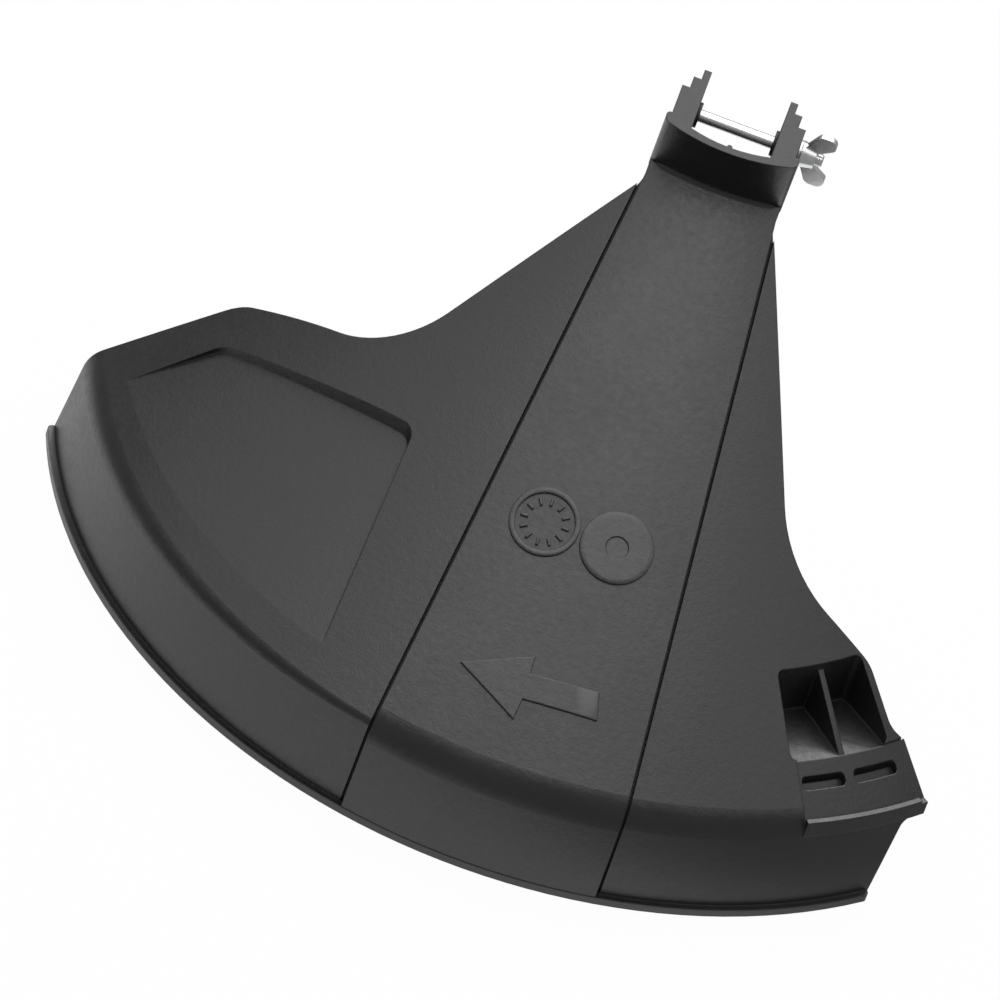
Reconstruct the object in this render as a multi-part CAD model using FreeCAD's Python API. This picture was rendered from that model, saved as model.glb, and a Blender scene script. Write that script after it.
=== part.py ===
# Blade guard of a grass trimmer: one hollow moulding, and the bolt, washer and wing nut of its fork.
# Millimetres. The origin is on the axis of the skirt, where the cutting head turns, level with the lip.
# +Z is up along that axis, -Y is the operator's side and the neck with its fork rises towards +Y.
# Bearings are degrees about +Z from the front (-Y), positive to the right (+X).
import FreeCAD, Part
import functools
import math
import os

V = FreeCAD.Vector

# Skirt and deck: a steep skirt, a rolled crease and a sloping deck that narrows to the neck
wall = 3.0
lip_radius = 207.0
crease_radius = 203.0
skirt_height = 41.0
crease_round = 14.0
crease_end_round = 2.0
crease_inner_flat = 4.0
neck_radius = 46.0
neck_offset = 3.8
neck_setback = 53.0
neck_height = 177.0
deck_top_share = 1.12
flange_reach = 2.4
flange_height = 3.2
flange_end_round = 2.2

# Plan outline of the wings, with corners as (radius, bearing)
left_bearing = -75.4
left_corner_radius = 153.5
left_corner_round = 14.0
left_waist = (111.5, -53.1)
left_waist_round = 31.0
right_bearing = 50.0
right_corner_radius = 158.0
right_corner_round = 12.0
right_waist = (123.5, 40.1)
right_waist_round = 40.0
neck_corner_round = 8.0

# Slanted right end of the skirt
skirt_end_bearing = 46.4
skirt_end_lean = 14.0
skirt_end_round = 5.0

# Raised centre band with a thin groove along each side
band_neck_half = 26.3
band_front_half = 50.5
band_proud = 2.4
groove_width = 1.4
groove_depth = 1.2

# Sunken panel on the left wing, with corners as (radius, bearing)
panel_left_bearing = -69.4
panel_far_corner = (160.4, -68.9)
panel_neck_corner = (117.7, -36.6)
panel_right_fade = (188.9, -23.2)
panel_corner_round = 7.0
panel_edge_bow = 2.5
panel_edge_round = 400.0
panel_start_share = 0.064
panel_end_share = 0.6
panel_end_depth = 9.0

# Seat block of the line knife at the right end: open pocket, divider, plate with two blind slots, and a ledge
pocket_left_bearing = 35.2
pocket_right_bearing = 49.0
pocket_far_radius = 154.0
pocket_near_radius = 182.5
pocket_floor_height = 53.0
pocket_round = 2.5
divider_bearing = 42.6
divider_width = 2.4
divider_drop = 2.6
plate_drop = 0.8
slot_far_radius = 187.4
slot_near_radius = 191.8
slot_left_bearing = 36.3
slot_right_bearing = 49.2
slot_gap = 4.0
slot_depth = 3.0
slot_round = 1.9
block_left_bearing = 35.9
block_bearing = 51.5
block_shoulder_start = 178.5
block_shoulder_end = 184.5
block_shoulder_round = 8.0
block_low = 35.0
ledge_back_radius = 201.6
ledge_front_radius = 204.0
ledge_end_bearing = 50.6
ledge_top = 42.4

# Stiffening under the deck
rim_width = 2.4
rim_depth = 8.0
rib_width = 2.2
rib_depth = 11.0
cross_rib_radii = (58.0, 100.0, 142.0)

# Fork: a leaning collar wall with two stepped arms
fork_lean = 20.0
collar_foot_y = 3.6
collar_rise = 26.8
collar_depth = 35.0
collar_wall = 2.8
collar_inner_radius = 60.0
collar_outer_radius = 80.0
collar_half_width = 26.6
collar_corner_round = 3.0
ear_length = 4.2
ear_round = 1.5
fork_half_gap = 15.9
arm_half_widths = (24.8, 21.8, 18.8)
arm_ends = (19.0, 24.2, 28.7)
nub_radius = 1.1

# Clamp bolt and its place in the fork
bolt_radius = 2.5
bolt_length = 56.0
bolt_back = 15.6
bolt_drop = 11.0
bolt_chamfer = 0.6
hole_clearance = 0.25
head_across_flats = 8.0
head_height = 3.5
head_clearance = 0.2
boss_radius = 5.0
boss_height = 1.2

# Washer and wing nut; a wing's outline is (along the bolt, out from the bolt, rounding)
washer_radius = 5.0
washer_thickness = 1.0
nut_gap = 0.2
nut_running_clearance = 0.05
nut_base_radius = 5.2
nut_top_radius = 4.0
nut_hub_height = 6.0
nut_wing_thickness = 2.4
nut_turn = 97.0
nut_wing_outline = (
    (1.6, 1.6, 0.0), (0.9, 4.4, 0.0), (5.0, 12.6, 3.1), (12.0, 12.6, 3.1), (12.0, 7.8, 1.7), (5.7, 3.2, 0.0),
    (5.7, 1.6, 0.0),
)

# Reach of cutting shapes past what they cut, overlap of joined shapes, and how near counts as the same place
reach = 150.0
overlap = 2.0
same = 0.01

skirt_flare = (lip_radius - crease_radius) / skirt_height
deck_run = crease_radius + neck_setback - neck_radius
deck_slope = math.atan2(neck_height - skirt_height, deck_run)
deck_length = deck_run / math.cos(deck_slope)
sky = neck_height + reach
far = lip_radius + reach


def polar(radius, bearing, z=0.0):
    """Point at a radius and bearing about the skirt's axis."""
    angle = math.radians(bearing)
    return V(radius * math.sin(angle), -radius * math.cos(angle), z)


def rounded_wire(corners):
    """Closed wire through (point, round radius) corners, in the plane of its points."""
    count = len(corners)
    starts = []
    ends = []
    arcs = []
    for index, (point, radius) in enumerate(corners):
        back = (corners[index - 1][0] - point).normalize()
        ahead = (corners[(index + 1) % count][0] - point).normalize()
        half = back.getAngle(ahead) / 2.0
        run = radius / math.tan(half)
        starts.append(point + back * run)
        ends.append(point + ahead * run)
        middle = point + (back + ahead).normalize() * (radius / math.sin(half) - radius)
        arcs.append(Part.Arc(starts[-1], middle, ends[-1]).toShape() if radius > 0.0 else None)
    edges = []
    for index in range(count):
        if arcs[index]:
            edges.append(arcs[index])
        edges.append(Part.LineSegment(ends[index], starts[(index + 1) % count]).toShape())
    return Part.Wire(edges)


def prism(wire, low, high):
    """Upright solid of a plan wire between two heights."""
    face = Part.Face(wire)
    face.translate(V(0, 0, low))
    return face.extrude(V(0, 0, high - low))


def sector(inner, outer, first_bearing, last_bearing, low, high):
    """Part of an upright ring between two radii, bearings and heights."""
    middle_bearing = (first_bearing + last_bearing) / 2.0
    arcs = []
    for radius in (outer, inner):
        points = [polar(radius, bearing) for bearing in (first_bearing, middle_bearing, last_bearing)]
        arcs.append(Part.Arc(*points).toShape())
    sides = []
    for bearing in (first_bearing, last_bearing):
        sides.append(Part.LineSegment(polar(inner, bearing), polar(outer, bearing)).toShape())
    return prism(Part.Wire(Part.__sortEdges__(arcs + sides)), low, high)


def upright_edges(solid):
    """Vertical edges of a prism."""
    height = solid.BoundBox.ZLength
    return [e for e in solid.Edges if abs(e.BoundBox.ZLength - height) < same]


def ring(radius, share, z):
    """Level circle whose centre lies a share of the way from the skirt's axis to the neck's."""
    centre = V(neck_offset * share, neck_setback * share, z)
    return Part.Wire([Part.Circle(centre, V(0, 0, 1), radius).toShape()])


def deck_ring(share, offset=0.0, drop=0.0):
    """Level circle of the deck, from the crease (share 0) to the neck (share 1), on an offset skin."""
    low = skirt_height + offset * math.tan((math.pi / 2.0 - deck_slope) / 2.0)
    high = neck_height + offset / math.cos(deck_slope)
    radius = crease_radius + offset + (neck_radius - crease_radius - offset) * share
    return ring(radius, share, low + (high - low) * share - drop)


def stacked(rings):
    """Solid of ruled lofts from each ring to the next."""
    lofts = [Part.makeLoft([low, high], True, True) for low, high in zip(rings, rings[1:])]
    return lofts[0].fuse(lofts[1:]).removeSplitter()


def foot_ring(offset):
    """Level circle of the skirt's skin just under the lip, on an offset skin."""
    return ring(lip_radius + offset + skirt_flare * overlap, 0.0, -overlap)


def crease_edges(solid, height):
    """Level edges of a solid at the crease's height."""
    return [e for e in solid.Edges if e.BoundBox.ZLength < wall and abs(e.BoundBox.Center.z - height) < wall]


@functools.lru_cache(maxsize=None)
def bell(offset, crease_rounded=True):
    """Solid under the guard's outer skin, with the skin moved outwards by an offset."""
    crease = deck_ring(0.0, offset)
    solid = stacked([foot_ring(offset), crease, deck_ring(deck_top_share, offset)])
    if not crease_rounded:
        return solid
    return solid.makeFillet(crease_round + offset, crease_edges(solid, crease.BoundBox.Center.z))


@functools.lru_cache(maxsize=None)
def hollow(depth):
    """Space at a depth under the outer skin, with a flat along its crease."""
    crease_height = deck_ring(0.0, -depth).BoundBox.Center.z
    below_radius = crease_radius - depth + skirt_flare * crease_inner_flat
    below = ring(below_radius, 0.0, crease_height - crease_inner_flat)
    above = deck_ring(crease_inner_flat / deck_length, -depth)
    return stacked([foot_ring(-depth), below, above, deck_ring(deck_top_share, -depth)])


def outline_wire():
    """Plan outline of the moulding: wings, ends, and a margin round the skirt and behind the neck."""
    neck_left = neck_offset - band_neck_half
    neck_right = neck_offset + band_neck_half
    return rounded_wire([
        (V(neck_left, neck_setback, 0), 0.0),
        (V(neck_left, collar_foot_y, 0), neck_corner_round),
        (polar(*left_waist), left_waist_round),
        (polar(left_corner_radius, left_bearing), left_corner_round),
        (polar(far, left_bearing), 0.0),
        (V(-far, -far, 0), 0.0),
        (V(far, -far, 0), 0.0),
        (polar(far, block_bearing), 0.0),
        (polar(block_shoulder_end, block_bearing), block_shoulder_round),
        (polar(block_shoulder_start, right_bearing), block_shoulder_round),
        (polar(right_corner_radius, right_bearing), right_corner_round),
        (polar(*right_waist), right_waist_round),
        (V(neck_right, collar_foot_y, 0), neck_corner_round),
        (V(neck_right, neck_setback, 0), 0.0),
    ])


def skin(outline):
    """Solid under the outer skin within the outline, whose crease sharpens towards the left end."""
    right = Part.makeBox(far, 2.0 * far, sky + overlap, V(neck_offset, -far, -overlap))
    left = bell(0.0, False).common(outline).cut(right)
    crease = crease_edges(left, skirt_height)
    rounds = [crease_end_round, crease_round]
    if crease[0].firstVertex(True).X > crease[0].lastVertex(True).X:
        rounds.reverse()
    return left.makeFillet(*rounds, crease).fuse(bell(0.0).common(outline).common(right))


def flange():
    """Small flange round the lip, with rounded ends."""
    outer_radius = lip_radius + flange_reach
    solid = sector(lip_radius - wall, outer_radius, left_bearing, skirt_end_bearing, -overlap, flange_height)
    ends = [e for e in upright_edges(solid) if e.CenterOfMass.cross(V(0, 0, 1)).Length > lip_radius]
    return solid.makeFillet(flange_end_round, ends)


def band_zone(margin, low=-overlap):
    """Upright solid over the band's plan, widened by a margin."""
    neck = band_neck_half + margin
    front = band_front_half + margin
    side = [(neck, reach), (neck, collar_foot_y), (front, -crease_radius), (front, -far)]
    points = [V(neck_offset + x, y, 0) for x, y in side]
    points += [V(neck_offset - x, y, 0) for x, y in reversed(side)]
    return prism(Part.makePolygon(points + points[:1]), low, sky)


def panel_wire():
    """Plan outline of the sunken panel, open towards the skirt."""
    far_corner = polar(*panel_far_corner)
    neck_corner = polar(*panel_neck_corner)
    middle = (far_corner + neck_corner) * 0.5
    right_end = neck_corner + (polar(*panel_right_fade) - neck_corner).normalize() * reach
    return rounded_wire([
        (far_corner, panel_corner_round),
        (middle * (1.0 + panel_edge_bow / middle.Length), panel_edge_round),
        (neck_corner, panel_corner_round),
        (right_end, 0.0),
        (polar(far, panel_left_bearing), 0.0),
    ])


def panel_skin(offset):
    """Solid under the sunken panel: a cone less steep than the deck that leaves it near the crease."""
    start = deck_ring(panel_start_share, offset)
    end = deck_ring(panel_end_share, offset, panel_end_depth)
    return stacked([ring(far, 0.0, -overlap), deck_ring(0.0, offset), start, end])


def sink_panel(body, outer):
    """Sinks the left wing's panel, with its own floor and side walls."""
    opening = prism(panel_wire(), skirt_height, sky)
    walled = prism(panel_wire().makeOffset2D(wall), skirt_height, sky)
    floor = walled.common(outer).cut(panel_skin(-wall))
    return body.fuse(floor).cut(opening.cut(panel_skin(0.0)))


def knife_seat(body, outer):
    """Adds the block at the right end, opens its pocket and slots, and puts the divider and ledge in."""
    side_turn = math.degrees(wall / pocket_far_radius)
    floor_low = pocket_floor_height - wall
    box = sector(pocket_far_radius - wall, pocket_near_radius, pocket_left_bearing - side_turn, right_bearing,
                 floor_low, neck_height)
    plate = sector(pocket_near_radius, crease_radius, block_left_bearing, block_bearing,
                   block_low, neck_height)
    block = plate.common(bell(0.0, False)).cut(hollow(wall + slot_depth))
    body = body.fuse(box.common(outer)).fuse(block).cut(plate.cut(bell(-plate_drop, False)))
    for end_bearing, top in ((block_bearing, skirt_height), (ledge_end_bearing, ledge_top)):
        ledge = sector(ledge_back_radius, ledge_front_radius, block_left_bearing, end_bearing, block_low, top)
        body = body.fuse(ledge)

    pocket = sector(pocket_far_radius, pocket_near_radius, pocket_left_bearing, pocket_right_bearing,
                    pocket_floor_height, neck_height)
    body = body.cut(pocket.makeFillet(pocket_round, upright_edges(pocket)))
    length = pocket_near_radius - pocket_far_radius + 2.0 * overlap
    divider = Part.makeBox(divider_width, length, neck_height - floor_low,
                           V(-divider_width / 2.0, -pocket_near_radius - overlap, floor_low))
    divider.rotate(V(0, 0, 0), V(0, 0, 1), divider_bearing)
    body = body.fuse(divider.common(bell(-divider_drop, False)))
    half_gap = math.degrees(slot_gap / 2.0 / slot_far_radius)
    slot_floor = bell(-plate_drop - slot_depth, False)
    for first, last in ((slot_left_bearing, divider_bearing - half_gap),
                        (divider_bearing + half_gap, slot_right_bearing)):
        slot = sector(slot_far_radius, slot_near_radius, first, last, block_low, neck_height)
        body = body.cut(slot.makeFillet(slot_round, upright_edges(slot)).cut(slot_floor))
    return body


def skirt_end():
    """Space beyond the skirt's slanted right end, under the knife block."""
    lean = math.tan(math.radians(skirt_end_lean))
    wire = rounded_wire([
        (V(-lean * overlap, 0, -overlap), 0.0),
        (V(reach, 0, -overlap), 0.0),
        (V(reach, 0, block_low), 0.0),
        (V(lean * block_low, 0, block_low), skirt_end_round),
    ])
    solid = Part.Face(wire).extrude(V(0, -far, 0))
    solid.rotate(V(0, 0, 0), V(0, 0, 1), skirt_end_bearing)
    return solid


def fork_placement():
    """Frame of the fork: X across, Y along the arms, Z up the leaning collar, origin at the rim's inside."""
    foot_z = skirt_height + (crease_radius + collar_foot_y) * math.tan(deck_slope)
    foot_z += band_proud / math.cos(deck_slope)
    turn = FreeCAD.Rotation(V(1, 0, 0), fork_lean)
    origin = V(neck_offset, collar_foot_y, foot_z) + turn.multVec(V(0, collar_wall, collar_rise))
    return FreeCAD.Placement(origin, turn)


def fork_wire():
    """Section of the collar and its two stepped arms, seen down the collar."""
    ear_y = collar_outer_radius - collar_wall - math.sqrt(collar_outer_radius ** 2 - collar_half_width ** 2)
    root_y = collar_inner_radius - math.sqrt(collar_inner_radius ** 2 - fork_half_gap ** 2)
    back = ear_y + ear_length
    side = [(collar_half_width, ear_y), (collar_half_width, back)]
    for half_width, end in zip(arm_half_widths, arm_ends):
        side += [(half_width, back), (half_width, end)]
        back = end
    side += [(fork_half_gap, back), (fork_half_gap, root_y)]
    right = [V(x, y, 0) for x, y in side]
    left = [V(-x, y, 0) for x, y in side]
    edges = [Part.Arc(left[0], V(0, -collar_wall, 0), right[0]).toShape()]
    edges.append(Part.Arc(right[-1], V(0, 0, 0), left[-1]).toShape())
    for points in (right, left):
        edges += [Part.LineSegment(a, b).toShape() for a, b in zip(points, points[1:])]
    return Part.Wire(Part.__sortEdges__(edges))


def fork():
    """Collar, arms, bolt bosses and the small nub inside the rim, with the bolt's holes."""
    solid = prism(fork_wire(), -collar_depth, 0.0)
    for radius, outermost in ((collar_corner_round, min), (ear_round, max)):
        ears = [e for e in upright_edges(solid) if abs(e.BoundBox.Center.x) > arm_half_widths[0]]
        level = outermost(e.BoundBox.Center.y for e in ears)
        solid = solid.makeFillet(radius, [e for e in ears if abs(e.BoundBox.Center.y - level) < same])
    solid = solid.fuse(Part.makeCylinder(nub_radius, collar_depth, V(0, 0, -collar_depth)))
    for side in (-1, 1):
        face = V(side * (fork_half_gap + overlap), bolt_back, -bolt_drop)
        solid = solid.fuse(Part.makeCylinder(boss_radius, boss_height + overlap, face, V(-side, 0, 0)))
    start = V(-arm_half_widths[0] - overlap, bolt_back, -bolt_drop)
    hole = Part.makeCylinder(bolt_radius + hole_clearance, -2.0 * start.x, start, V(1, 0, 0))
    pocket = hexagon_bar(head_across_flats / 2.0 + head_clearance, head_height + head_clearance + overlap)
    pocket.translate(start)
    solid = solid.cut(hole).cut(pocket)
    solid.Placement = fork_placement()
    return solid


def fork_clearance():
    """Space inside and behind the collar that the deck stays out of."""
    solid = Part.makeCylinder(collar_inner_radius, 2.0 * reach, V(0, collar_inner_radius, -reach))
    solid.Placement = fork_placement()
    return solid


def hexagon_bar(inner_radius, length):
    """Hexagonal bar from the origin along +X."""
    corner = V(0, inner_radius / math.cos(math.pi / 6.0), 0)
    points = [FreeCAD.Rotation(V(1, 0, 0), 60.0 * k).multVec(corner) for k in range(6)]
    return Part.Face(Part.makePolygon(points + points[:1])).extrude(V(length, 0, 0))


def guard_body():
    """The moulding: skirt, deck, band, panel, knife seat, stiffening and fork in one piece."""
    outline = prism(outline_wire(), -overlap, sky)
    outer = skin(outline)
    body = sink_panel(outer.cut(hollow(wall)).fuse(flange()), outer)

    band = band_zone(0.0)
    grooves = band_zone(groove_width, flange_height).cut(band)
    body = body.cut(grooves.cut(bell(-groove_depth)))
    body = body.fuse(bell(band_proud).cut(hollow(wall)).common(band).common(outline))

    rim_zone = outline.cut(prism(outline_wire().makeOffset2D(-rim_width), -overlap, sky))
    mid_wall = hollow(wall / 2.0)
    body = body.fuse(mid_wall.cut(hollow(rim_depth)).common(rim_zone))
    rib_layer = mid_wall.cut(hollow(rib_depth)).common(outline).common(band)
    body = body.fuse(rib_layer.cut(band_zone(-rib_width)))
    for radius in cross_rib_radii:
        tube = Part.makeCylinder(radius + rib_width, neck_height).cut(Part.makeCylinder(radius, neck_height))
        body = body.fuse(rib_layer.common(tube))

    body = knife_seat(body, outer)
    body = body.cut(skirt_end())
    body = body.cut(fork_clearance()).fuse(fork())
    ground = Part.makeBox(2.0 * far, 2.0 * far, reach, V(-far, -far, -reach))
    return body.cut(ground).removeSplitter()


def bolt_placement():
    """Frame of the bolt: X along the bolt from the middle of the fork's gap."""
    frame = fork_placement()
    return FreeCAD.Placement(frame.multVec(V(0, bolt_back, -bolt_drop)), frame.Rotation)


def clamp_bolt():
    """Hexagon bolt whose head sits in the left arm's pocket."""
    seat = V(-arm_half_widths[0] + head_height + head_clearance, 0, 0)
    along = V(1, 0, 0)
    shank_length = bolt_length - bolt_chamfer
    head = hexagon_bar(head_across_flats / 2.0, head_height)
    head.translate(seat - along * head_height)
    shank = Part.makeCylinder(bolt_radius, shank_length, seat, along)
    tip_start = seat + along * shank_length
    tip = Part.makeCone(bolt_radius, bolt_radius - bolt_chamfer, bolt_chamfer, tip_start, along)
    solid = head.fuse(shank).fuse(tip).removeSplitter()
    solid.Placement = bolt_placement()
    return solid


def flat_washer():
    """Washer against the right arm."""
    start = V(arm_half_widths[0], 0, 0)
    along = V(1, 0, 0)
    solid = Part.makeCylinder(washer_radius, washer_thickness, start, along)
    solid = solid.cut(Part.makeCylinder(bolt_radius + hole_clearance, washer_thickness, start, along))
    solid.Placement = bolt_placement()
    return solid


def wing_nut():
    """Wing nut on the bolt's end, outside the washer."""
    along = V(1, 0, 0)
    solid = Part.makeCone(nut_base_radius, nut_top_radius, nut_hub_height, V(0, 0, 0), along)
    face = Part.Face(rounded_wire([(V(x, y, 0), rounding) for x, y, rounding in nut_wing_outline]))
    face.translate(V(0, 0, -nut_wing_thickness / 2.0))
    wing = face.extrude(V(0, 0, nut_wing_thickness))
    solid = solid.fuse(wing)
    wing.rotate(V(0, 0, 0), along, 180.0)
    solid = solid.fuse(wing)
    bore = Part.makeCylinder(bolt_radius + nut_running_clearance, bolt_length, V(-overlap, 0, 0), along)
    solid = solid.cut(bore).removeSplitter()
    start = bolt_placement().Base + along * (arm_half_widths[0] + washer_thickness + nut_gap)
    solid.Placement = FreeCAD.Placement(start, FreeCAD.Rotation(along, nut_turn))
    return solid


def main():
    os.makedirs("parts", exist_ok=True)
    for make in (guard_body, clamp_bolt, flat_washer, wing_nut):
        shape = make()
        shape.exportStep("parts/" + make.__name__ + ".step")
        box = shape.BoundBox
        print(make.__name__, len(shape.Solids), shape.isValid(), round(shape.Volume), box)


if __name__ == "__main__":
    main()
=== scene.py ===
"""Dresses the blade guard of a grass trimmer.

Gives it moulded plastic, plated hardware and raised marks, on a white stage.
"""
import math

import bmesh
import bpy
from bpy.props import FloatProperty, FloatVectorProperty, PointerProperty
from mathutils import Matrix, Vector
from mathutils.bvhtree import BVHTree


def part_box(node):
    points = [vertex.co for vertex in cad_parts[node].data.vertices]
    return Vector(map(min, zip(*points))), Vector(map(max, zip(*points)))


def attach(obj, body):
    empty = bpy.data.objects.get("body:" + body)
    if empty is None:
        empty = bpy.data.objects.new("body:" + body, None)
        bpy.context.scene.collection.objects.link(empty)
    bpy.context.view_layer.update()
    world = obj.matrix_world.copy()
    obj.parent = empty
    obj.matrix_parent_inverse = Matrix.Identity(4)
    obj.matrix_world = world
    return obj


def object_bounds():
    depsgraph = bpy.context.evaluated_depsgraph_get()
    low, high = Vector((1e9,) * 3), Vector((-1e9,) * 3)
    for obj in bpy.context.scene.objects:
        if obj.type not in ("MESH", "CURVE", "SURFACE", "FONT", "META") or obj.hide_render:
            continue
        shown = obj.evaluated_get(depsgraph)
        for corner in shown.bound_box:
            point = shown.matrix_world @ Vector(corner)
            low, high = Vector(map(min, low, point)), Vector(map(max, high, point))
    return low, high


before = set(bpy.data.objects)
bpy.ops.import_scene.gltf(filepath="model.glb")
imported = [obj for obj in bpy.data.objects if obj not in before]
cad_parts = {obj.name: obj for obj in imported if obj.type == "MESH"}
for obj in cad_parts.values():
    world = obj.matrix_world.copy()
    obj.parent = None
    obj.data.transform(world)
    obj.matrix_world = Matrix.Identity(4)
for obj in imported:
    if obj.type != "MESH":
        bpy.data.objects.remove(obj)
cad_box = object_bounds()

bl_info = {
    "name": "Trimmer Blade Guard",
    "version": (1, 0, 0),
    "blender": (4, 5, 0),
    "location": "View3D > Sidebar > Guard",
    "description": "Finishes, raised marks and stage for the blade guard of a grass trimmer",
    "category": "Object",
}

# The raised arrow, as (across the band, up the slope) from its middle, in metres
ARROW_OUTLINE = (
    (-0.0281, 0.0006), (-0.0021, -0.0135), (-0.0015, -0.0048), (0.0275, -0.0023),
    (0.0248, 0.0084), (-0.0020, 0.0056), (-0.0024, 0.0126),
)

# Steps that shape round and curved pieces
ROUND_STEPS = 96
ARROW_STEPS = 14
RING_TICKS = 12
DISC_RINGS = 5
EDGE_SEGMENTS = 2
BEAD_STEPS = 56
BEAD_RINGS = 8
THREAD_STEPS_A_TURN = 32

# Power that keeps the bead at its full size until close to its ends
BEAD_END_POWER = 16

# Half width of the thread's ridge, as a share of the pitch
THREAD_FLANK_SHARE = 0.4

# Edges that turn by more than this stay sharp
SMOOTH_ANGLE = math.radians(25.0)

# Way down, for rays and lamps
DOWN = Vector((0.0, 0.0, -1.0))

# Rays that look for the moulding: height and clearance of their starts, and the least step off a face
RAY_TOP = 1.0
RAY_CLEARANCE = 0.02
RAY_SKIP = 0.0001

# Gap that keeps the floor from touching the lip, and the camera's sensor in millimetres
FLOOR_GAP = 0.0002
SENSOR_WIDTH = 36.0

# Mean of the noises, and how far they move the plastic's shade and the roughness of the finishes
NOISE_MEAN = 0.5
SHADE_SPREAD = 0.4
CLOUD_ROUGHNESS = 0.12
GRAIN_ROUGHNESS = 0.20

# Share of the coarser noise in the plastic's shade and relief, and fine grains to a grain's width
SHADE_CLOUDS = 0.7
RELIEF_GRAIN = 0.65
FINE_GRAINS = 3.0

# Share of the coarser noise in the zinc, grains to a patch's width, and shade of its dull patches
ZINC_CLOUDS = 0.6
ZINC_GRAINS = 6.0
ZINC_DULL = 0.86

# Light that reaches a nook and open skin, and the samples of edges and nooks
NOOK_LIGHT = 0.4
OPEN_LIGHT = 0.8
NEARBY_SAMPLES = 8


class Wire:
    """A socket of a node tree, with arithmetic that adds Math nodes."""

    def __init__(self, board, socket):
        self.board = board
        self.socket = socket

    def math(self, operation, first, second):
        return self.board.node("ShaderNodeMath", {"operation": operation}, {0: first, 1: second})

    def __add__(self, other):
        return self.math("ADD", self, other)

    def __radd__(self, other):
        return self.math("ADD", other, self)

    def __sub__(self, other):
        return self.math("SUBTRACT", self, other)

    def __rsub__(self, other):
        return self.math("SUBTRACT", other, self)

    def __mul__(self, other):
        return self.math("MULTIPLY", self, other)

    def __rmul__(self, other):
        return self.math("MULTIPLY", other, self)


class Board:
    """A node tree that is filled from empty."""

    def __init__(self, owner):
        owner.use_nodes = True
        self.tree = owner.node_tree
        self.tree.nodes.clear()

    def node(self, kind, settings=None, inputs=None, output=0):
        """Adds a node, sets its settings, then the values or links of its sockets, and gives one output."""
        made = self.tree.nodes.new(kind)
        for name, value in (settings or {}).items():
            setattr(made, name, value)
        for name, value in (inputs or {}).items():
            if isinstance(value, Wire):
                self.tree.links.new(value.socket, made.inputs[name])
            else:
                made.inputs[name].default_value = value
        return Wire(self, made.outputs[output]) if made.outputs else None

    def noise(self, grain, detail):
        """Noise whose lumps are about one grain across, in metres."""
        place = self.node("ShaderNodeTexCoord", output="Object")
        values = {"Vector": place, "Scale": 1.0 / grain, "Detail": detail}
        return self.node("ShaderNodeTexNoise", None, values, "Fac")

    def blend(self, factor, first, second):
        """Colour between two colours."""
        values = {0: factor, 6: (*first, 1.0), 7: (*second, 1.0)}
        return self.node("ShaderNodeMix", {"data_type": "RGBA"}, values, 2)

    def openness(self, reach):
        """One on open skin, falling to nought in grooves and inner corners, where it masks painted shade
        and matt skin.
        """
        settings = {"samples": NEARBY_SAMPLES, "only_local": True}
        light = self.node("ShaderNodeAmbientOcclusion", settings, {"Distance": reach}, "AO")
        values = {"Value": light, "From Min": NOOK_LIGHT, "From Max": OPEN_LIGHT}
        return self.node("ShaderNodeMapRange", None, values)

    def soft_edge(self, radius):
        """Normal that rolls over edges, as a mould or a plating tank leaves them."""
        return self.node("ShaderNodeBevel", {"samples": NEARBY_SAMPLES}, {"Radius": radius})


def moulded_plastic(name, settings, base, roughness, rolled_and_shaded=True):
    """Black plastic with fine grain and flow clouds and, where asked for, softened edges and nooks that are
    matt and darkened by painted shade.
    """
    material = bpy.data.materials.new(name)
    board = Board(material)
    clouds = board.noise(settings.cloud_size, detail=4.0)
    grain = board.noise(settings.grain_size, detail=2.0)
    fine = board.noise(settings.grain_size / FINE_GRAINS, detail=1.0)
    dark = [(1.0 - SHADE_SPREAD) * channel for channel in base]
    light = [(1.0 + SHADE_SPREAD) * channel for channel in base]
    mottle = SHADE_CLOUDS * clouds + (1.0 - SHADE_CLOUDS) * grain
    unevenness = CLOUD_ROUGHNESS * (clouds - NOISE_MEAN) + GRAIN_ROUGHNESS * (grain - NOISE_MEAN)
    varied = roughness + unevenness
    relief = {
        "Strength": 1.0,
        "Distance": settings.grain_depth,
        "Height": RELIEF_GRAIN * grain + (1.0 - RELIEF_GRAIN) * fine,
    }
    if rolled_and_shaded:
        relief["Normal"] = board.soft_edge(settings.edge_round)
        open_unshaded = board.openness(settings.shaded_nook_reach)
        # Painted shade: in grooves and inner corners the colour falls towards the darker end of its range
        mottle = mottle * open_unshaded
        varied = varied * open_unshaded + settings.nook_roughness * (1.0 - open_unshaded)
    shader = board.node("ShaderNodeBsdfPrincipled", None, {
        "Base Color": board.blend(mottle, dark, light),
        "Roughness": varied,
        "IOR": settings.ior,
        "Normal": board.node("ShaderNodeBump", None, relief),
    })
    board.node("ShaderNodeOutputMaterial", None, {"Surface": shader})
    return material


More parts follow.
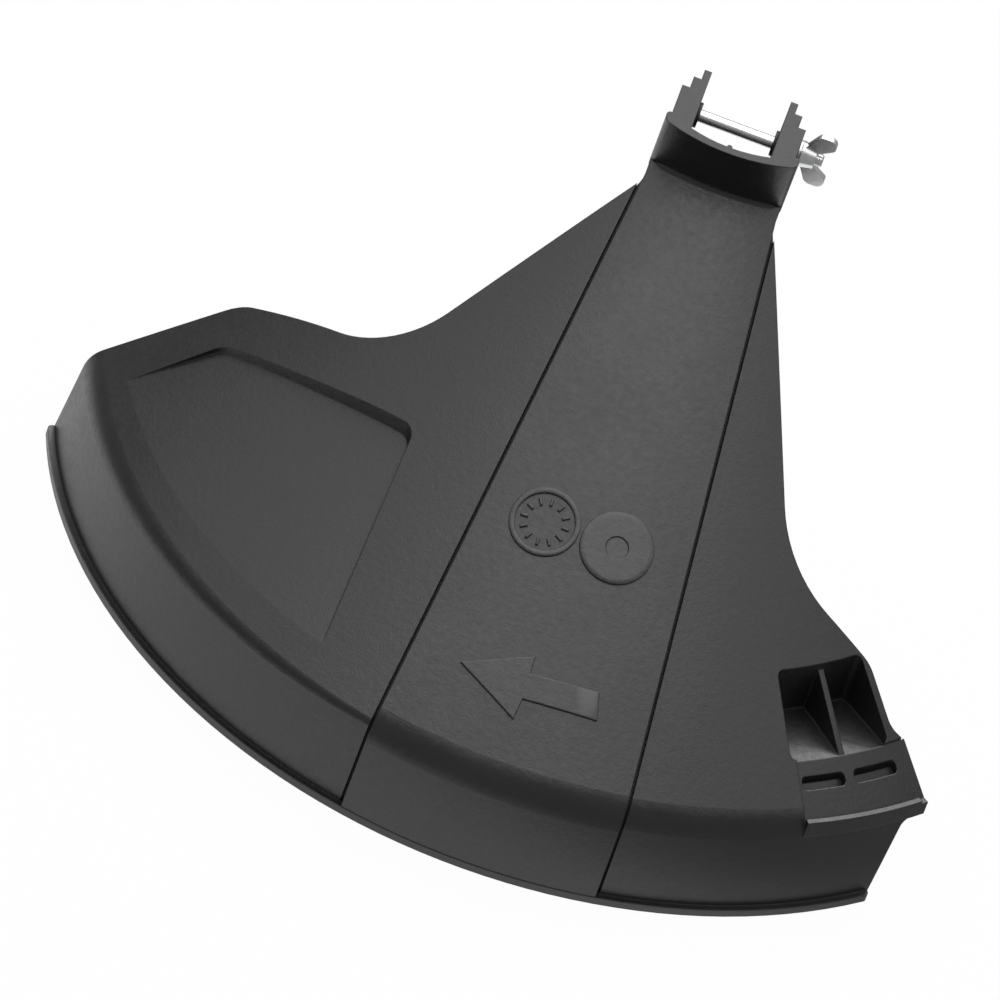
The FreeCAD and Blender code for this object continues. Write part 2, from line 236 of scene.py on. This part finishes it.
def zinc_plating(name, settings):
    """Bright zinc over steel, with a slight cast unevenness."""
    material = bpy.data.materials.new(name)
    board = Board(material)
    clouds = board.noise(settings.cloud_size, detail=3.0)
    grain = board.noise(settings.cloud_size / ZINC_GRAINS, detail=2.0)
    uneven = ZINC_CLOUDS * clouds + (1.0 - ZINC_CLOUDS) * grain
    dull = [ZINC_DULL * channel for channel in settings.colour]
    bump = board.node("ShaderNodeBump", None, {
        "Strength": 1.0,
        "Distance": settings.cast_depth,
        "Height": uneven,
        "Normal": board.soft_edge(settings.edge_round),
    })
    shader = board.node("ShaderNodeBsdfPrincipled", None, {
        "Base Color": board.blend(uneven, dull, settings.colour),
        "Metallic": 1.0,
        "Roughness": settings.roughness + CLOUD_ROUGHNESS * (clouds - NOISE_MEAN),
        "Normal": bump,
    })
    board.node("ShaderNodeOutputMaterial", None, {"Surface": shader})
    return material


def finish_node(name, material):
    """Gives a CAD node its material."""
    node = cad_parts[name]
    node.data.materials.clear()
    node.data.materials.append(material)


def show(name, data):
    """Makes an object and puts it in the scene."""
    made = bpy.data.objects.new(name, data)
    bpy.context.scene.collection.objects.link(made)
    return made


def to_mesh(name, shape, material):
    """Turns a bmesh into a mesh of one material."""
    mesh = bpy.data.meshes.new(name)
    shape.to_mesh(mesh)
    shape.free()
    mesh.materials.append(material)
    return mesh


def add_piece(name, shape, material):
    """Makes an object of a closed bmesh, on the guard's body."""
    bmesh.ops.recalc_face_normals(shape, faces=shape.faces)
    open_edges = [edge for edge in shape.edges if not edge.is_manifold]
    if open_edges:
        raise RuntimeError(f"{name} has {len(open_edges)} open edges")
    mesh = to_mesh(name, shape, material)
    mesh.polygons.foreach_set("use_smooth", [True] * len(mesh.polygons))
    mesh.set_sharp_from_angle(angle=SMOOTH_ANGLE)
    piece = show(name, mesh)
    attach(piece, "guard")


def guard_skin():
    """Search tree over the moulding's faces."""
    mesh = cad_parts["guard_body"].data
    corners = [vertex.co for vertex in mesh.vertices]
    return BVHTree.FromPolygons(corners, [face.vertices for face in mesh.polygons])


def cast(skin, start, direction):
    """Place and normal where a ray meets the moulding."""
    place, normal, _, _ = skin.ray_cast(start, direction)
    if place is None:
        raise RuntimeError(f"no moulding found from {tuple(start)}")
    return place, normal


def raise_outline(shape, marks):
    """Turns flat faces into a solid from below the band's skin to its height, with softened top edges."""
    bmesh.ops.translate(shape, verts=shape.verts, vec=(0.0, 0.0, -marks.sink))
    raised = bmesh.ops.extrude_face_region(shape, geom=shape.faces[:], use_keep_orig=True)["geom"]
    top = {item for item in raised if isinstance(item, bmesh.types.BMVert)}
    bmesh.ops.translate(shape, verts=list(top), vec=(0.0, 0.0, marks.sink + marks.height))
    bmesh.ops.recalc_face_normals(shape, faces=shape.faces)
    rims = []
    for rim in shape.edges:
        if top.issuperset(rim.verts) and rim.calc_face_angle(0.0) > SMOOTH_ANGLE:
            rims.append(rim)
    bmesh.ops.bevel(
        shape, geom=rims, offset=marks.edge, affect="EDGES", segments=EDGE_SEGMENTS,
        profile=0.5, material=-1)


def drape(shape, skin, middle):
    """Lays a flat shape on the band, with its own height kept above the skin."""
    centre, normal = cast(skin, Vector((*middle, RAY_TOP)), DOWN)
    across = (Vector((1.0, 0.0, 0.0)) - normal * normal.x).normalized()
    up_slope = normal.cross(across)
    for vertex in shape.verts:
        start = centre + across * vertex.co.x + up_slope * vertex.co.y + normal * RAY_CLEARANCE
        place, _ = cast(skin, start, -normal)
        vertex.co = place + normal * vertex.co.z


def flat_ring(radius, width):
    """Flat ring about the origin."""
    shape = bmesh.new()
    edges = []
    for size in (radius, radius - width):
        circle = bmesh.ops.create_circle(shape, cap_ends=False, radius=size, segments=ROUND_STEPS)
        edges += {edge for vertex in circle["verts"] for edge in vertex.link_edges}
    bmesh.ops.bridge_loops(shape, edges=edges)
    return shape


def add_flat_face(shape, outline):
    """Adds one flat face through an outline's points."""
    return shape.faces.new([shape.verts.new((*point, 0.0)) for point in outline])


class PlasticSettings(bpy.types.PropertyGroup):
    """Black moulded plastic."""

    colour: FloatVectorProperty(
        name="Colour", description="Mean colour of the plastic",
        subtype="COLOR", default=(0.0105, 0.0105, 0.011))
    roughness: FloatProperty(
        name="Roughness", description="Mean roughness of the skin",
        subtype="FACTOR", default=0.37)
    # Colour of the raised marks, about twice as light as the plastic's, all over them
    mark_colour: FloatVectorProperty(
        name="Mark Colour", description="Mean colour of the rubbed raised marks",
        subtype="COLOR", default=(0.024, 0.024, 0.025))
    mark_roughness: FloatProperty(
        name="Mark Roughness", description="Roughness of the smoother round marks",
        subtype="FACTOR", default=0.34)
    ior: FloatProperty(
        name="IOR", description="Index of refraction", default=1.65)
    grain_size: FloatProperty(
        name="Grain Size", description="Width of the mould's grain",
        unit="LENGTH", default=0.0024)
    grain_depth: FloatProperty(
        name="Grain Depth", description="Depth of the mould's grain",
        unit="LENGTH", default=0.00011)
    cloud_size: FloatProperty(
        name="Cloud Size", description="Width of the faint flow clouds",
        unit="LENGTH", default=0.03)
    edge_round: FloatProperty(
        name="Edge Round", description="Radius of the moulding's small edges",
        unit="LENGTH", default=0.0006)
    # Reach of the painted shade and matt skin in grooves and corners
    shaded_nook_reach: FloatProperty(
        name="Nook Reach", description="Width of grooves and corners that stay matt",
        unit="LENGTH", default=0.0022)
    nook_roughness: FloatProperty(
        name="Nook Roughness", description="Roughness in grooves and corners",
        subtype="FACTOR", default=0.95)


class SteelSettings(bpy.types.PropertyGroup):
    """Zinc-plated hardware and the bolt's thread."""

    colour: FloatVectorProperty(
        name="Colour", description="Colour of the zinc",
        subtype="COLOR", default=(0.86, 0.865, 0.87))
    roughness: FloatProperty(
        name="Roughness", description="Mean roughness of the zinc",
        subtype="FACTOR", default=0.30)
    cloud_size: FloatProperty(
        name="Cloud Size", description="Width of the uneven patches",
        unit="LENGTH", default=0.003)
    cast_depth: FloatProperty(
        name="Cast Depth", description="Depth of the uneven patches",
        unit="LENGTH", default=0.00006)
    edge_round: FloatProperty(
        name="Edge Round", description="Radius of the hardware's edges",
        unit="LENGTH", default=0.0004)
    shank_radius: FloatProperty(
        name="Shank Radius", description="Radius of the bolt's shank",
        unit="LENGTH", default=0.0025)
    thread_pitch: FloatProperty(
        name="Thread Pitch", description="Pitch of the bolt's thread",
        unit="LENGTH", default=0.0008)
    thread_height: FloatProperty(
        name="Thread Height", description="Height of the thread above the shank",
        unit="LENGTH", default=0.0002)
    thread_length: FloatProperty(
        name="Thread Length", description="Length of the thread past the nut",
        unit="LENGTH", default=0.0019)
    plain_tip: FloatProperty(
        name="Plain Tip", description="Length of the bolt's end without thread",
        unit="LENGTH", default=0.0005)


class MarkSettings(bpy.types.PropertyGroup):
    """Raised marks on the centre band."""

    height: FloatProperty(
        name="Height", description="Height above the band",
        unit="LENGTH", default=0.0008)
    sink: FloatProperty(
        name="Sink", description="Depth below the band's skin",
        unit="LENGTH", default=0.0006)
    edge: FloatProperty(
        name="Edge", description="Softening of the top edges",
        unit="LENGTH", default=0.00025)
    ring_middle: FloatVectorProperty(
        name="Ring Middle", description="Plan position of the ring", size=2,
        subtype="XYZ", default=(-0.0123, -0.1197))
    ring_radius: FloatProperty(
        name="Ring Radius", description="Outer radius of the ring",
        unit="LENGTH", default=0.0136)
    ring_width: FloatProperty(
        name="Ring Width", description="Width of the ring",
        unit="LENGTH", default=0.0022)
    tick_start: FloatProperty(
        name="Tick Start", description="Inner radius of the ticks",
        unit="LENGTH", default=0.0066)
    tick_end: FloatProperty(
        name="Tick End", description="Outer radius of the ticks",
        unit="LENGTH", default=0.0096)
    tick_width: FloatProperty(
        name="Tick Width", description="Width of a tick",
        unit="LENGTH", default=0.0011)
    disc_middle: FloatVectorProperty(
        name="Disc Middle", description="Plan position of the disc", size=2,
        subtype="XYZ", default=(0.0164, -0.1195))
    disc_radius: FloatProperty(
        name="Disc Radius", description="Radius of the disc",
        unit="LENGTH", default=0.0142)
    hub_radius: FloatProperty(
        name="Hub Radius", description="Radius of the disc's sunken hub",
        unit="LENGTH", default=0.0044)
    arrow_middle: FloatVectorProperty(
        name="Arrow Middle", description="Plan position of the arrow", size=2,
        subtype="XYZ", default=(0.0043, -0.1732))


class CollarSettings(bpy.types.PropertyGroup):
    """Rounded foot of the fork's collar."""

    origin: FloatVectorProperty(
        name="Origin", description="Inside of the collar's rim, in the middle",
        subtype="TRANSLATION", default=(0.0038, -0.00294, 0.20379))
    lean: FloatProperty(
        name="Lean", description="Lean of the collar",
        subtype="ANGLE", default=math.radians(20.0))
    radius: FloatProperty(
        name="Radius", description="Radius of the collar's front",
        unit="LENGTH", default=0.080)
    wall: FloatProperty(
        name="Wall", description="Thickness of the collar's wall",
        unit="LENGTH", default=0.0028)
    half_turn: FloatProperty(
        name="Half Turn", description="Turn from the middle to the bead's end",
        subtype="ANGLE", default=math.radians(17.6))
    bead_size: FloatProperty(
        name="Bead Size", description="Reach of the bead up the collar and over the band",
        unit="LENGTH", default=0.0022)
    bead_depth: FloatProperty(
        name="Bead Depth", description="Depth of the bead into the moulding",
        unit="LENGTH", default=0.0012)


class StageSettings(bpy.types.PropertyGroup):
    """Floor, light and camera."""

    target: FloatVectorProperty(
        name="Target", description="Point in the middle of the picture",
        subtype="TRANSLATION", default=(-0.0309, -0.080, 0.0677))
    elevation: FloatProperty(
        name="Elevation", description="Height of the camera above the horizon",
        subtype="ANGLE", default=math.radians(39.0))
    roll: FloatProperty(
        name="Roll", description="Turn of the camera about its view",
        subtype="ANGLE", default=math.radians(20.4))
    distance: FloatProperty(
        name="Distance", description="Distance of the camera",
        unit="LENGTH", default=6.0)
    picture_width: FloatProperty(
        name="Picture Width", description="Width of the picture at the target",
        unit="LENGTH", default=0.3774)
    floor_size: FloatProperty(
        name="Floor Size", description="Half width of the floor",
        unit="LENGTH", default=30.0)
    floor_colour: FloatVectorProperty(
        name="Floor Colour", description="Colour of the floor",
        subtype="COLOR", default=(0.85, 0.85, 0.85))
    floor_white: FloatProperty(
        name="Floor White", description="Share of plain white seen on the floor",
        subtype="FACTOR", default=0.97)
    # Painted pool of light: a glow on the floor, seen only in reflections, white near its middle and fading
    # to grey further out
    painted_pool_middle: FloatVectorProperty(
        name="Pool Middle", description="Middle of the lit pool that the guard mirrors",
        subtype="TRANSLATION", default=(-0.10, -0.03, 0.0))
    painted_pool_start: FloatProperty(
        name="Pool Start", description="Radius where the lit pool starts to fade",
        unit="LENGTH", default=0.24)
    painted_pool_end: FloatProperty(
        name="Pool End", description="Radius where the lit pool has faded",
        unit="LENGTH", default=0.30)
    painted_pool_low: FloatProperty(
        name="Pool Low", description="Brightness of the mirrored floor outside the pool",
        subtype="FACTOR", default=0.28)
    wide_place: FloatVectorProperty(
        name="Wide Place", description="Middle of the wide overhead lamp",
        subtype="TRANSLATION", default=(-0.10, 0.52, 1.5))
    wide_size: FloatVectorProperty(
        name="Wide Size", description="Width and depth of the wide overhead lamp", size=2,
        unit="LENGTH", default=(3.4, 2.4))
    wide_power: FloatProperty(
        name="Wide Power", description="Power of the wide overhead lamp",
        unit="POWER", default=19.5)
    narrow_place: FloatVectorProperty(
        name="Narrow Place", description="Middle of the narrow overhead lamp",
        subtype="TRANSLATION", default=(0.0, 0.50, 1.48))
    narrow_size: FloatVectorProperty(
        name="Narrow Size", description="Width and depth of the narrow overhead lamp", size=2,
        unit="LENGTH", default=(1.0, 2.4))
    narrow_power: FloatProperty(
        name="Narrow Power", description="Power of the narrow overhead lamp",
        unit="POWER", default=8.8)
    strip_place: FloatVectorProperty(
        name="Strip Place", description="Middle of the strip lamp behind",
        subtype="TRANSLATION", default=(-0.3, 2.0, 1.75))
    strip_size: FloatVectorProperty(
        name="Strip Size", description="Width and height of the strip lamp behind", size=2,
        unit="LENGTH", default=(2.6, 0.5))
    strip_power: FloatProperty(
        name="Strip Power", description="Power of the strip lamp behind",
        unit="POWER", default=18.0)
    world_level: FloatProperty(
        name="World Level", description="Brightness of the room away from the lamps",
        default=0.28)


class GUARD_OT_moulding(bpy.types.Operator):
    """Finishes the moulded body"""

    bl_idname = "guard.moulding"
    bl_label = "Finish Moulding"

    def execute(self, context):
        plastic = context.scene.guard_plastic
        material = moulded_plastic("black_moulding", plastic, plastic.colour, plastic.roughness)
        finish_node("guard_body", material)
        return {"FINISHED"}


class GUARD_OT_collar_foot(bpy.types.Operator):
    """Adds the rounded foot where the collar meets the band"""

    bl_idname = "guard.collar_foot"
    bl_label = "Add Collar Foot"

    def bend(self, shape, collar, turn):
        """Bends a flat grid into the hollow between the collar's front and the band."""
        skin = guard_skin()
        up = turn @ -DOWN
        axis = Vector(collar.origin) + turn @ Vector((0.0, collar.radius - collar.wall, 0.0))
        for vertex in shape.verts:
            along, over, _ = vertex.co
            angle = along * collar.half_turn
            share = (over + 1.0) / 2.0
            size = collar.bead_size * (1.0 - along ** BEAD_END_POWER) + RAY_SKIP
            out = turn @ Vector((math.sin(angle), -math.cos(angle), 0.0))
            face = axis + out * collar.radius
            foot, _ = cast(skin, face + out * RAY_SKIP, -up)
            reach, _ = cast(skin, face + out * size, -up)
            climb = foot + up * size
            back = 1.0 - share
            vertex.co = climb * back ** 2 + foot * 2.0 * share * back + reach * share ** 2

    def execute(self, context):
        collar = context.scene.guard_collar
        plastic = context.scene.guard_plastic
        turn = Matrix.Rotation(collar.lean, 3, "X")
        front = turn @ Vector((0.0, -1.0, 0.0))
        shape = bmesh.new()
        bmesh.ops.create_grid(shape, x_segments=BEAD_STEPS, y_segments=BEAD_RINGS, size=1.0)
        self.bend(shape, collar, turn)
        bmesh.ops.recalc_face_normals(shape, faces=shape.faces)
        shape.normal_update()
        if sum((face.normal for face in shape.faces), Vector()).dot(front) < 0.0:
            bmesh.ops.reverse_faces(shape, faces=shape.faces)
        bmesh.ops.solidify(shape, geom=shape.faces, thickness=collar.bead_depth)
        material = moulded_plastic(
            "black_moulding_foot", plastic, plastic.colour, plastic.roughness, rolled_and_shaded=False)
        add_piece("collar_foot", shape, material)
        return {"FINISHED"}


class GUARD_OT_round_marks(bpy.types.Operator):
    """Adds the raised ring with its ticks and the raised disc"""

    bl_idname = "guard.round_marks"
    bl_label = "Add Round Marks"

    def ticked_ring(self, marks):
        shape = flat_ring(marks.ring_radius, marks.ring_width)
        half = marks.tick_width / 2.0
        tick = add_flat_face(shape, [
            (-half, marks.tick_start), (half, marks.tick_start),
            (half, marks.tick_end), (-half, marks.tick_end),
        ])
        bmesh.ops.spin(
            shape, geom=[tick, *tick.edges, *tick.verts], axis=(0.0, 0.0, 1.0), use_duplicate=True,
            angle=math.tau * (RING_TICKS - 1) / RING_TICKS, steps=RING_TICKS - 1)
        raise_outline(shape, marks)
        return shape

    def disc(self, marks):
        shape = bmesh.new()
        bmesh.ops.create_circle(shape, cap_ends=True, radius=marks.disc_radius, segments=ROUND_STEPS)
        raise_outline(shape, marks)
        top = max(shape.faces, key=lambda face: face.calc_center_median().z)
        step = (marks.disc_radius - marks.edge - marks.hub_radius) / DISC_RINGS
        for _ in range(DISC_RINGS):
            bmesh.ops.inset_individual(shape, faces=[top], thickness=step, use_even_offset=True)
        hub = bmesh.ops.extrude_discrete_faces(shape, faces=[top])["faces"][0]
        bmesh.ops.translate(shape, verts=hub.verts, vec=(0.0, 0.0, -marks.height / 2.0))
        return shape

    def execute(self, context):
        marks = context.scene.guard_marks
        plastic = context.scene.guard_plastic
        material = moulded_plastic("black_mark", plastic, plastic.mark_colour, plastic.mark_roughness)
        skin = guard_skin()
        for name, shape, middle in (
            ("ring_mark", self.ticked_ring(marks), marks.ring_middle),
            ("disc_mark", self.disc(marks), marks.disc_middle),
        ):
            drape(shape, skin, middle)
            add_piece(name, shape, material)
        return {"FINISHED"}


class GUARD_OT_arrow_mark(bpy.types.Operator):
    """Adds the raised arrow that shows which way the cutter turns"""

    bl_idname = "guard.arrow_mark"
    bl_label = "Add Arrow Mark"

    def execute(self, context):
        marks = context.scene.guard_marks
        plastic = context.scene.guard_plastic
        shape = bmesh.new()
        add_flat_face(shape, ARROW_OUTLINE)
        raise_outline(shape, marks)
        left = min(point[0] for point in ARROW_OUTLINE)
        right = max(point[0] for point in ARROW_OUTLINE)
        for step in range(1, ARROW_STEPS):
            cut = Vector((left + (right - left) * step / ARROW_STEPS, 0.0, 0.0))
            parts = shape.verts[:] + shape.edges[:] + shape.faces[:]
            bmesh.ops.bisect_plane(shape, geom=parts, plane_co=cut, plane_no=(1.0, 0.0, 0.0))
        drape(shape, guard_skin(), marks.arrow_middle)
        material = moulded_plastic("black_arrow", plastic, plastic.mark_colour, plastic.roughness)
        add_piece("arrow_mark", shape, material)
        return {"FINISHED"}


class GUARD_OT_hardware(bpy.types.Operator):
    """Finishes the bolt, washer and wing nut, and adds the bolt's thread"""

    bl_idname = "guard.hardware"
    bl_label = "Finish Hardware"

    def thread(self, steel):
        """One ridge, wound round the end of the shank."""
        low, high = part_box("clamp_bolt")
        axis = Vector((0.0, (low[1] + high[1]) / 2.0, (low[2] + high[2]) / 2.0))
        root = steel.shank_radius - steel.thread_height
        crest = steel.shank_radius + steel.thread_height
        flank = steel.thread_pitch * THREAD_FLANK_SHARE
        start = high[0] - steel.plain_tip - steel.thread_length
        profile = [(start - flank, root), (start, crest), (start + flank, root)]
        shape = bmesh.new()
        corners = [shape.verts.new(axis + Vector((x, 0.0, radius))) for x, radius in profile]
        ridge = shape.faces.new(corners)
        turns = (steel.thread_length - flank) / steel.thread_pitch
        steps = round(turns * THREAD_STEPS_A_TURN)
        bmesh.ops.spin(
            shape, geom=[ridge, *ridge.edges, *ridge.verts], cent=axis, axis=(1.0, 0.0, 0.0),
            dvec=(turns * steel.thread_pitch / steps, 0.0, 0.0), angle=turns * math.tau, steps=steps)
        open_edges = [edge for edge in shape.edges if edge.is_boundary]
        bmesh.ops.holes_fill(shape, edges=open_edges, sides=len(profile))
        return shape

    def execute(self, context):
        steel = context.scene.guard_steel
        material = zinc_plating("bright_zinc", steel)
        for name in ("clamp_bolt", "flat_washer", "wing_nut"):
            finish_node(name, material)
        add_piece("bolt_thread", self.thread(steel), material)
        return {"FINISHED"}


class GUARD_OT_stage(bpy.types.Operator):
    """Sets the floor, the room, the lamps and the camera"""

    bl_idname = "guard.stage"
    bl_label = "Set Stage"

    def floor_finish(self, stage):
        """White to the camera but for a trace of shadow, and to what mirrors it a painted pool of white
        light that fades to grey.
        """
        material = bpy.data.materials.new("pale_floor")
        board = Board(material)
        plain = board.node("ShaderNodeBsdfDiffuse", None, {"Color": (*stage.floor_colour, 1.0)})
        names = ("Is Camera Ray", "Is Glossy Ray", "Is Transmission Ray")
        straight, mirrored, through = [board.node("ShaderNodeLightPath", output=name) for name in names]
        place = board.node("ShaderNodeTexCoord", output="Object")
        ends = {0: place, 1: stage.painted_pool_middle}
        away = board.node("ShaderNodeVectorMath", {"operation": "DISTANCE"}, ends, "Value")
        pool = board.node("ShaderNodeMapRange", {"interpolation_type": "SMOOTHSTEP"}, {
            "Value": away, "From Min": stage.painted_pool_start, "From Max": stage.painted_pool_end,
            "To Min": 1.0, "To Max": stage.painted_pool_low,
        })
        # Painted pool of light: what mirrors the floor sees a white glow near the pool, fading to grey away
        # from it
        level = straight + (mirrored + through) * pool
        white = board.node("ShaderNodeEmission", None, {"Color": level, "Strength": 1.0})
        share = stage.floor_white * straight + mirrored + through
        mixed = board.node("ShaderNodeMixShader", None, {0: share, 1: plain, 2: white})
        board.node("ShaderNodeOutputMaterial", None, {"Surface": mixed})
        return material

    def floor(self, stage):
        shape = bmesh.new()
        bmesh.ops.create_grid(shape, x_segments=1, y_segments=1, size=stage.floor_size)
        floor = show("floor", to_mesh("floor", shape, self.floor_finish(stage)))
        floor.location.z = cad_box[0][2] - FLOOR_GAP

    def room(self, scene, stage):
        scene.world = bpy.data.worlds.new("room")
        board = Board(scene.world)
        straight = board.node("ShaderNodeLightPath", output="Is Camera Ray")
        level = stage.world_level + (1.0 - stage.world_level) * straight
        values = {"Color": (1.0, 1.0, 1.0, 1.0), "Strength": level}
        back = board.node("ShaderNodeBackground", None, values)
        board.node("ShaderNodeOutputWorld", None, {"Surface": back})

    def lamp(self, name, place, aim, size, power):
        light = bpy.data.lights.new(name, "AREA")
        light.shape = "RECTANGLE"
        light.size, light.size_y = size
        light.energy = power
        lamp = show(name, light)
        lamp.location = place
        lamp.rotation_euler = aim.to_track_quat("-Z", "Y").to_euler()
        lamp.visible_camera = False

    def camera(self, scene, stage):
        lens = bpy.data.cameras.new("camera")
        lens.sensor_width = SENSOR_WIDTH
        lens.lens = SENSOR_WIDTH * stage.distance / stage.picture_width
        camera = show("camera", lens)
        tilt = Matrix.Rotation(math.pi / 2.0 - stage.elevation, 4, "X")
        back = tilt @ Vector((0.0, 0.0, stage.distance))
        turned = tilt @ Matrix.Rotation(stage.roll, 4, "Z")
        camera.matrix_world = Matrix.Translation(Vector(stage.target) + back) @ turned
        scene.camera = camera

    def execute(self, context):
        scene = context.scene
        stage = scene.guard_stage
        scene.view_settings.view_transform = "Standard"
        self.floor(stage)
        self.room(scene, stage)
        forward = Vector(stage.target) - Vector(stage.strip_place)
        self.lamp("overhead_wide", stage.wide_place, DOWN, stage.wide_size, stage.wide_power)
        self.lamp("overhead_narrow", stage.narrow_place, DOWN, stage.narrow_size, stage.narrow_power)
        self.lamp("strip_behind", stage.strip_place, forward, stage.strip_size, stage.strip_power)
        self.camera(scene, stage)
        return {"FINISHED"}


class GUARD_PT_panel(bpy.types.Panel):
    """Buttons for the guard's finishes, pieces and stage"""

    bl_idname = "GUARD_PT_panel"
    bl_label = "Blade Guard"
    bl_space_type = "VIEW_3D"
    bl_region_type = "UI"
    bl_category = "Guard"

    def draw(self, context):
        for name in SETTINGS:
            box = self.layout.box()
            group = getattr(context.scene, name)
            for key in group.__annotations__:
                box.prop(group, key)
        for operator in OPERATORS:
            self.layout.operator(operator.bl_idname)


SETTINGS = {
    "guard_plastic": PlasticSettings,
    "guard_collar": CollarSettings,
    "guard_marks": MarkSettings,
    "guard_steel": SteelSettings,
    "guard_stage": StageSettings,
}

OPERATORS = (
    GUARD_OT_moulding,
    GUARD_OT_collar_foot,
    GUARD_OT_round_marks,
    GUARD_OT_arrow_mark,
    GUARD_OT_hardware,
    GUARD_OT_stage,
)

CLASSES = (*SETTINGS.values(), *OPERATORS, GUARD_PT_panel)


def register():
    for entry in CLASSES:
        bpy.utils.register_class(entry)
    for name, group in SETTINGS.items():
        setattr(bpy.types.Scene, name, PointerProperty(type=group))


def unregister():
    for name in SETTINGS:
        delattr(bpy.types.Scene, name)
    for entry in reversed(CLASSES):
        bpy.utils.unregister_class(entry)


def main():
    register()
    bpy.ops.guard.moulding()
    bpy.ops.guard.collar_foot()
    bpy.ops.guard.round_marks()
    bpy.ops.guard.arrow_mark()
    bpy.ops.guard.hardware()
    bpy.ops.guard.stage()


if __name__ == "__main__":
    main()
